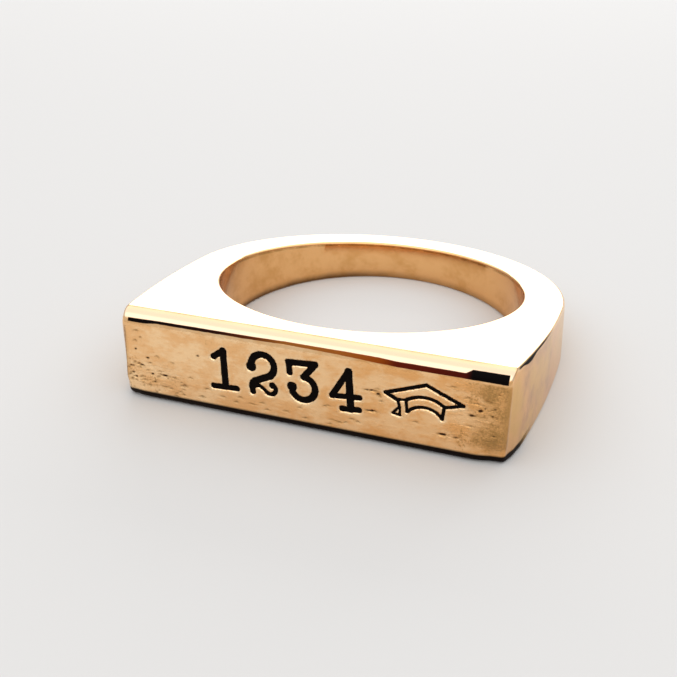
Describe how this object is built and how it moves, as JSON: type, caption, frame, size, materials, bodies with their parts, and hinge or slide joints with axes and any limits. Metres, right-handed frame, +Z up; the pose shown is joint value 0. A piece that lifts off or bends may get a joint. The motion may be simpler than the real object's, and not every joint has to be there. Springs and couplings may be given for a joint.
{
  "type": "class ring",
  "caption": "Bar signet class ring with a tapering band, a flat rectangular face and black filled stamped numerals and graduation cap outline.",
  "frame": {"origin": "on the surface the ring lies on, under the middle of the ring's box", "axes": "+Z up from the lower side the ring lies on, +X along the bar to the wearer's right of the face as it is read, -Y out of the bar's face, +Y to the back of the band"},
  "size_m": [0.0216, 0.0216, 0.0048],
  "materials": {
    "gold": "polished gold-coloured plate over brass, with fine scratches, small pits and a soft stamped ripple on the face",
    "black_fill": "black enamel paint, uneven and slightly glossy"
  },
  "bodies": {
    "root": {"ring_body": "gold", "numeral_one": "black_fill", "numeral_two": "black_fill", "numeral_three": "black_fill", "numeral_four": "black_fill", "cap_outline": "black_fill"}
  },
  "joints": []
}
